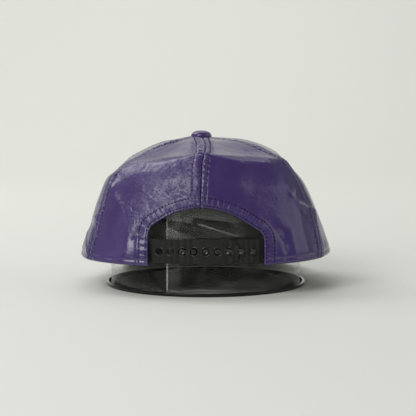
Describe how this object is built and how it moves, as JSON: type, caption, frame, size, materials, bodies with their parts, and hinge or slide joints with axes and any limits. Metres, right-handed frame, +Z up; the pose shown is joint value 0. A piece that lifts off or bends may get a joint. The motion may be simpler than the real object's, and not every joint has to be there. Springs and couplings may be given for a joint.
{
  "type": "faux leather cap on a clear display stand",
  "caption": "Six-panel cap with a curved peak, an arched back opening and a snap strap, resting over a clear band on a thin round base.",
  "frame": {"origin": "centre of the stand base's underside, on the surface that the stand rests on", "axes": "+Z up; +Y towards the cap's peak, so its back opening and strap face -Y; +X to the right of someone looking at the opening"},
  "size_m": [0.2086, 0.2486, 0.1284],
  "materials": {
    "faux_leather": "deep purple, semi-gloss, fine grain, softly wrinkled",
    "sweatband_fabric": "black twill",
    "strap_plastic": "moulded black, satin",
    "clear_plastic": "clear, glossy",
    "glossy_black": "black, high gloss"
  },
  "bodies": {
    "root": {"crown_panel_back_left": "faux_leather", "crown_panel_back_right": "faux_leather", "crown_panel_side_right": "faux_leather", "crown_panel_front_right": "faux_leather", "crown_panel_front_left": "faux_leather", "crown_panel_side_left": "faux_leather", "top_button": "faux_leather", "peak": "faux_leather", "sweatband": "sweatband_fabric", "snap_strap_holes": "strap_plastic", "snap_strap_studs": "strap_plastic", "stand_band": "clear_plastic", "stand_base": "glossy_black"}
  },
  "joints": []
}
